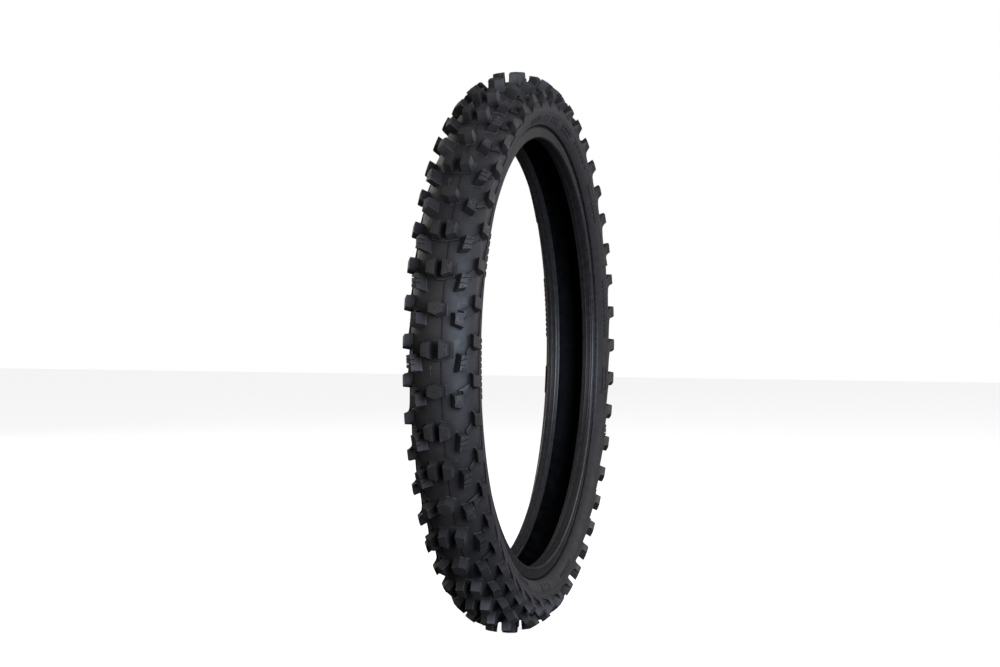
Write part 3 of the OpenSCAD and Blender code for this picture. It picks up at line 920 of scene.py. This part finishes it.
# ---- Materials ----
class Nodes:
    """Short calls for building a material's node tree."""

    def __init__(self, name):
        self.material = bpy.data.materials.new(name)
        self.material.use_nodes = True
        self.tree = self.material.node_tree
        self.shader = self.tree.nodes["Principled BSDF"]

    def plug(self, socket, value):
        """Links another node's output to a socket, or sets its value."""
        if isinstance(value, bpy.types.NodeSocket):
            self.tree.links.new(value, socket)
        else:
            socket.default_value = value

    def add(self, kind, inputs=None, output=0, **settings):
        """A new node. Gives one of its outputs."""
        node = self.tree.nodes.new(kind)
        for key, value in settings.items():
            setattr(node, key, value)
        for key, value in (inputs or {}).items():
            self.plug(node.inputs[key], value)
        return node.outputs[output]

    def math(self, operation, a, b=0.0, c=0.0):
        return self.add("ShaderNodeMath", {0: a, 1: b, 2: c}, operation=operation)

    def place(self):
        """Object coordinates, in metres."""
        return self.add("ShaderNodeTexCoord", output="Object")

    def xyz(self):
        """The three object coordinates, apart."""
        return self.add("ShaderNodeSeparateXYZ", {0: self.place()}).node.outputs

    def noise(self, scale, detail=3.0, rough=0.55):
        """Soft noise in three dimensions."""
        inputs = {"Vector": self.place(), "Scale": scale, "Detail": detail, "Roughness": rough}
        return self.add("ShaderNodeTexNoise", inputs, output="Fac")

    def spread(self, value, low, high, new_low=0.0, new_high=1.0):
        """Maps a range of values to another, and stays inside it."""
        inputs = {"Value": value, "From Min": low, "From Max": high,
                  "To Min": new_low, "To Max": new_high}
        return self.add("ShaderNodeMapRange", inputs)

    def band(self, value, edges):
        """One between the two middle edges, and fading to zero at the outer ones."""
        start, full, fade, end = edges
        return self.math("MULTIPLY", self.spread(value, start, full), self.spread(value, end, fade))

    def blend(self, share, a, b):
        """Colour a where the share is zero, colour b where it is one."""
        inputs = {"Factor": share, 6: a, 7: b}
        return self.add("ShaderNodeMix", inputs, output=2, data_type="RGBA")

    def bump(self, height, distance, strength, under=None):
        """A bumped normal, over the one from another bump if that is given."""
        inputs = {"Height": height, "Distance": distance, "Strength": strength}
        if under is not None:
            inputs["Normal"] = under
        return self.add("ShaderNodeBump", inputs)

    def round_wave(self, turns, lean, warp=0.0, warp_scale=60.0):
        """A wave that repeats a whole number of times round the tyre and leans across it."""
        x, y, z = self.xyz()
        phase = self.math("MULTIPLY", self.math("ARCTAN2", z, x), turns)
        phase = self.math("MULTIPLY_ADD", y, lean, phase)
        if warp:
            phase = self.math("MULTIPLY_ADD", self.noise(warp_scale), warp, phase)
        return self.math("MULTIPLY_ADD", self.math("SINE", phase), 0.5, 0.5)

    def radius(self):
        """Distance from the axle, in metres."""
        x, _, z = self.xyz()
        squares = self.math("MULTIPLY_ADD", x, x, self.math("MULTIPLY", z, z))
        return self.math("SQRT", squares)

    def crown_facing(self):
        """One where a face lies along the crown, zero where it stands square to it."""
        x, y, z = self.xyz()
        share = self.math("DIVIDE", CROWN_C[1] * MM, self.radius())
        ring = self.math("SUBTRACT", 1.0, share)
        away = self.add("ShaderNodeCombineXYZ", {0: self.math("MULTIPLY", x, ring), 1: y,
                                                 2: self.math("MULTIPLY", z, ring)})
        away = self.add("ShaderNodeVectorMath", {0: away}, operation="NORMALIZE")
        face = self.add("ShaderNodeNewGeometry", output="Normal")
        return self.add("ShaderNodeVectorMath", {0: away, 1: face}, output="Value",
                        operation="DOT_PRODUCT")

    def hollows(self, distance, depth):
        """Less than one in hollows and corners, where it paints shade into the colour."""
        inputs = {"Distance": distance}
        open_ = self.add("ShaderNodeAmbientOcclusion", inputs, output="AO", samples=8)
        return self.spread(open_, 0.25, 0.95, 1 - depth, 1.0)

    def finish(self, colour, roughness, normal, sheen=0.0, specular=0.5, metal=0.0):
        """Fills in the shader. Gives the material."""
        for key, value in (("Base Color", colour), ("Roughness", roughness), ("Normal", normal),
                           ("Sheen Weight", sheen), ("Specular IOR Level", specular),
                           ("Metallic", metal)):
            self.plug(self.shader.inputs[key], value)
        return self.material


def grey(value, warm=0.0):
    """A grey that leans towards violet, or towards brown when it is warm."""
    return (value * (1.05 + warm), value * 0.97, value * (1.03 - warm), 1)


# Painted shade: the near-black that the rubbers blend towards in hollows, grooves and at the feet
# of knobs
PAINTED_HOLLOW_SHADE = grey(0.003)
NOISE_SPAN = (0.3, 0.7)
# Distances from the axle in metres, where a band starts, is full, fades and ends
HEEL_BAND = (0.2668, 0.2685, 0.2765, 0.2790)
RIM_LINE_BAND = (0.2797, 0.2806, 0.2822, 0.2832)


def tread_rubber(name, painted_wall_shade=0.0):
    """Moulded tread: matt black with a faint bloom, paler worn edges and a fine grain, with painted
    shade in hollows and at the feet of knobs. Walls that stand up steeply from the crown can get
    painted shade that makes them darker than the tops."""
    n = Nodes(name)
    cloud, grain = n.noise(26.0, 4.0), n.noise(900.0, 2.0)
    colour = n.blend(n.spread(cloud, 0.35, 0.65), grey(0.020, 0.09), grey(0.032, 0.07))
    edge = n.spread(n.add("ShaderNodeNewGeometry", output="Pointiness"), 0.54, 0.64)
    colour = n.blend(n.math("MULTIPLY", edge, 0.5), colour, grey(0.085, 0.08))
    # Painted shade: darker in hollows and at the knobs' feet, and on walls that stand steeply off
    # the crown
    shade = n.hollows(0.017, 0.74)
    if painted_wall_shade:
        steep = n.spread(n.crown_facing(), 0.985, 0.86)
        shade = n.math("MULTIPLY", shade, n.math("MULTIPLY_ADD", steep, -painted_wall_shade, 1.0))
    colour = n.blend(shade, PAINTED_HOLLOW_SHADE, colour)
    rough = n.spread(n.noise(120.0, 3.0), *NOISE_SPAN, 0.50, 0.64)
    normal = n.bump(n.noise(150.0, 3.0), 0.0006, 0.25)
    normal = n.bump(grain, 0.0002, 0.35, normal)
    return n.finish(colour, rough, normal, sheen=0.04, specular=n.math("MULTIPLY", shade, 0.55))


def sidewall_rubber():
    """Smoother rubber with broad cloudy patches and faint rubbed streaks round the tyre, and
    painted shade in its hollows.
    """
    n = Nodes("sidewall_rubber_look")
    cloud = n.noise(38.0, 5.0, 0.6)
    streak = n.round_wave(90, 400.0, 14.0, 30.0)
    colour = n.blend(n.spread(cloud, *NOISE_SPAN), grey(0.028, 0.09), grey(0.043, 0.08))
    colour = n.blend(n.math("MULTIPLY", streak, 0.15), colour, grey(0.05, 0.02))
    rough = n.spread(n.noise(90.0, 4.0), *NOISE_SPAN, 0.60, 0.74)
    # Painted shade: darker in hollows, round the raised marks and at the buttress feet
    shade = n.hollows(0.006, 0.75)
    colour = n.blend(shade, PAINTED_HOLLOW_SHADE, colour)
    normal = n.bump(n.noise(110.0, 5.0, 0.65), 0.0018, 0.45)
    normal = n.bump(n.noise(1100.0, 2.0), 0.00015, 0.35, normal)
    return n.finish(colour, rough, normal, sheen=0.05, specular=n.math("MULTIPLY", shade, 0.26))


def bead_rubber():
    """Rubber with a pressed fabric weave, mottled, a little duller along the heel, with painted
    shade in the groove above it and in its hollows."""
    n = Nodes("bead_rubber_look")
    radius = n.radius()
    heel, line = n.band(radius, HEEL_BAND), n.band(radius, RIM_LINE_BAND)
    weave = n.math("MULTIPLY", n.round_wave(1300, 2200.0), n.round_wave(1300, -2200.0))
    mottle = n.noise(170.0, 4.0, 0.65)
    colour = n.blend(n.spread(mottle, 0.35, 0.65), grey(0.015, 0.02), grey(0.026, 0.05))
    rough = n.spread(mottle, *NOISE_SPAN, 0.32, 0.50)
    rough = n.math("MULTIPLY_ADD", heel, 0.04, rough)
    # Painted shade: darker in hollows and along the rim-line groove
    shade = n.math("MULTIPLY", n.hollows(0.006, 0.8), n.math("MULTIPLY_ADD", line, -0.7, 1.0))
    colour = n.blend(shade, PAINTED_HOLLOW_SHADE, colour)
    normal = n.bump(mottle, 0.00025, 0.12)
    normal = n.bump(weave, 0.00003, 0.2, normal)
    gloss = n.math("MULTIPLY_ADD", heel, -0.1, 0.6)
    return n.finish(colour, rough, normal, specular=n.math("MULTIPLY", shade, gloss))


def liner_rubber():
    """Nearly black lining with the fine slanted ripples that the curing bladder leaves."""
    n = Nodes("liner_rubber_look")
    ripple = n.round_wave(420, 2600.0, 22.0, 90.0)
    cloud = n.noise(70.0, 6.0, 0.7)
    share = n.math("MULTIPLY", n.spread(cloud, 0.42, 0.66), n.spread(ripple, 0.0, 1.0, 0.45, 1.0))
    colour = n.blend(share, grey(0.002), grey(0.015, -0.12))
    rough = n.spread(cloud, *NOISE_SPAN, 0.50, 0.68)
    normal = n.bump(ripple, 0.0003, 0.4)
    return n.finish(colour, rough, normal, specular=0.1)


def cushion_rubber():
    """Unfinished rubber, as between the tread and the plies."""
    n = Nodes("cushion_rubber_look")
    cloud = n.noise(80.0, 4.0)
    colour = n.blend(cloud, (0.045, 0.038, 0.034, 1), (0.075, 0.062, 0.055, 1))
    rough = n.spread(cloud, *NOISE_SPAN, 0.60, 0.80)
    return n.finish(colour, rough, n.bump(n.noise(600.0), 0.0002, 0.4))


def ply_fabric(name, lean):
    """Rubber-dipped cords laid on the bias, seen as fine parallel ridges."""
    n = Nodes(name)
    cord = n.round_wave(1500, lean)
    cloud = n.noise(140.0, 3.0)
    colour = n.blend(cord, (0.10, 0.075, 0.045, 1), (0.34, 0.27, 0.17, 1))
    colour = n.blend(n.math("MULTIPLY", cloud, 0.4), colour, (0.16, 0.13, 0.09, 1))
    rough = n.spread(cloud, *NOISE_SPAN, 0.65, 0.85)
    return n.finish(colour, rough, n.bump(cord, 0.0003, 0.6), sheen=0.15)


def bead_wire():
    """Bright drawn wire with a thin brass coat and darker drawing marks."""
    n = Nodes("bead_wire_look")
    mark = n.noise(500.0, 4.0, 0.7)
    colour = n.blend(mark, (0.52, 0.38, 0.18, 1), (0.78, 0.62, 0.34, 1))
    rough = n.spread(mark, *NOISE_SPAN, 0.25, 0.42)
    return n.finish(colour, rough, n.bump(mark, 0.00005, 0.3), metal=1.0)


# ---- Parts ----
def arrows():
    """Arrow marks on the left half of the crown."""
    return [on_side(part, LEFT) for row in ARROW_ROWS
            for part in arrow_mark(ROW_ZERO - PITCH * row)]


def build_parts():
    """Every visible part takes the place of its CAD node."""
    tread, wall = tread_rubber("tread_rubber_look"), sidewall_rubber()
    # The tie bars' copy of the tread look paints shade onto its steep walls
    ties = tread_rubber("tie_rubber_look", 0.5)
    bead, lining = bead_rubber(), liner_rubber()
    piece("tread_base", stack([tread_base()] + arrows()), tread, 30)
    piece("centre_knobs_single", centre_knobs_single(), tread)
    piece("centre_knobs_split", centre_knobs_split(), tread)
    piece("inner_liner", inner_liner(), lining, 60)
    pairs = [
        ("siped_knobs", siped_knobs(), tread, "tread_rubber"),
        ("bowtie_knobs", bowtie_knobs(), tread, "tread_rubber"),
        ("tie_bars", tie_bars(), ties, "tread_rubber"),
        ("shoulder_knobs", shoulder_knobs(), tread, "tread_rubber"),
        ("sidewall", stack([sidewall()] + sidewall_marks()), wall, "sidewall_rubber"),
        ("rim_strip", rim_strip(), bead, "bead_rubber"),
    ]
    for name, shell, material, slot in pairs:
        for side, sign in SIDES.items():
            piece(f"{name}_{side}", on_side(shell, sign), material)


def dress_inner_parts():
    """The parts inside the rubber keep their CAD shapes and get their own looks."""
    looks = {
        "undertread_cushion": cushion_rubber(),
        "breaker_ply": ply_fabric("breaker_ply_look", 9000.0),
        "carcass_ply_outer": ply_fabric("carcass_outer_look", 5000.0),
        "carcass_ply_inner": ply_fabric("carcass_inner_look", -5000.0),
    }
    filler, insulation, wire = bead_rubber(), cushion_rubber(), bead_wire()
    wrap = ply_fabric("bead_wrap_look", 12000.0)
    for side in SIDES:
        looks.update({f"bead_filler_{side}": filler, f"bead_insulation_{side}": insulation,
                      f"bead_wrap_{side}": wrap, f"bead_wires_{side}": wire})
    for name, look in looks.items():
        mesh = frame["nodes"][name].data
        mesh.materials.clear()
        mesh.materials.append(look)


# ---- Stage ----
BACKDROP_STRENGTH = 0.05
FLOOR_HALF = 6.0
FLOOR_GAP = 0.0002
FLOOR_GLOW = 0.85
FLOOR_DULL = 0.025
WHITE = (1, 1, 1, 1)
# Each light's place, size, power and colour
LIGHTS = {
    "right_light": ((2.2, 1.95, 0.5), (1.8, 1.5), 98, (0.70, 0.82, 1.0)),
    "side_light": ((-1.7, 2.4, 0.8), (1.3, 1.3), 30, (1.0, 0.92, 0.88)),
    "front_light": ((2.7, -1.0, 0.8), (1.3, 1.3), 9, (1.0, 0.88, 0.70)),
    "top_light": ((0.0, 0.3, 2.6), (2.0, 2.0), 5, (1.0, 0.97, 0.96)),
    "left_light": ((-1.4, -2.7, 0.9), (2.0, 2.0), 30, (1.0, 0.97, 0.94)),
}


def lights():
    """Soft boxes aimed at the wheel centre, unseen by the camera."""
    for name, (place, size, power, colour) in LIGHTS.items():
        light = bpy.data.lights.new(name, "AREA")
        light.shape = "RECTANGLE"
        light.size, light.size_y = size
        light.energy, light.color = power, colour
        obj = new_object(name, light)
        obj.location = place
        obj.rotation_euler = (Vector() - obj.location).to_track_quat("-Z", "Y").to_euler()
        obj.visible_camera = False


def by_camera_ray(tree, lit, seen, output):
    """Shows the camera one shader, while light meets another."""
    mix, path = tree.nodes.new("ShaderNodeMixShader"), tree.nodes.new("ShaderNodeLightPath")
    tree.links.new(path.outputs["Is Camera Ray"], mix.inputs["Fac"])
    tree.links.new(lit.outputs[0], mix.inputs[1])
    tree.links.new(seen.outputs[0], mix.inputs[2])
    tree.links.new(mix.outputs[0], output.inputs["Surface"])


def backdrop():
    """White for the camera, while the light it gives is dim and slightly blue."""
    world = bpy.data.worlds.new("backdrop")
    bpy.context.scene.world = world
    world.use_nodes = True
    nodes = world.node_tree.nodes
    soft = nodes["Background"]
    soft.inputs["Color"].default_value = (0.92, 0.95, 1.0, 1)
    soft.inputs["Strength"].default_value = BACKDROP_STRENGTH
    seen = nodes.new("ShaderNodeBackground")
    seen.inputs["Color"].default_value = WHITE
    by_camera_ray(world.node_tree, soft, seen, nodes["World Output"])


def floor():
    """A floor under the lowest knob: pale to the camera, and dull to the light, so that it
    throws little back up."""
    z = cad_low[2] - FLOOR_GAP
    signs = ((-1, -1), (1, -1), (1, 1), (-1, 1))
    mesh = bpy.data.meshes.new("floor")
    mesh.from_pydata([(FLOOR_HALF * x, FLOOR_HALF * y, z) for x, y in signs], [], [(0, 1, 2, 3)])
    n = Nodes("floor_look")
    nodes, link = n.tree.nodes, n.tree.links.new
    cloud = n.noise(3.0, 2.0)
    n.finish(n.blend(cloud, grey(0.93), grey(0.96)), 0.8, n.bump(n.noise(400.0), 0.0001, 0.1))
    glow = nodes.new("ShaderNodeEmission")
    glow.inputs["Color"].default_value = WHITE
    glow.inputs["Strength"].default_value = FLOOR_GLOW
    seen = nodes.new("ShaderNodeAddShader")
    link(n.shader.outputs[0], seen.inputs[0])
    link(glow.outputs[0], seen.inputs[1])
    dull = nodes.new("ShaderNodeBsdfDiffuse")
    dull.inputs["Color"].default_value = grey(FLOOR_DULL)
    by_camera_ray(n.tree, dull, seen, nodes["Material Output"])
    mesh.materials.append(n.material)
    new_object("floor", mesh)


CAMERA_AZ, CAMERA_EL = 105.783, 2.505
CAMERA_DISTANCE = 3.8547
SENSOR = 36.0
LENS = 111.2026
SHIFT = (-0.016339, 0.018905)


def camera():
    """The photo's view: a long lens from the front and a little to the right."""
    az, el = math.radians(CAMERA_AZ), math.radians(CAMERA_EL)
    back = Vector((math.sin(az) * math.cos(el), -math.cos(az) * math.cos(el), math.sin(el)))
    right = Vector((math.cos(az), math.sin(az), 0))
    data = bpy.data.cameras.new("camera")
    data.sensor_width, data.lens = SENSOR, LENS
    data.shift_x, data.shift_y = SHIFT
    obj = new_object("camera", data)
    turn = Matrix((right, back.cross(right), back)).transposed().to_4x4()
    obj.matrix_world = Matrix.Translation(back * CAMERA_DISTANCE) @ turn
    bpy.context.scene.camera = obj


build_parts()
dress_inner_parts()
backdrop()
lights()
floor()
camera()
bpy.context.scene.view_settings.view_transform = "Standard"
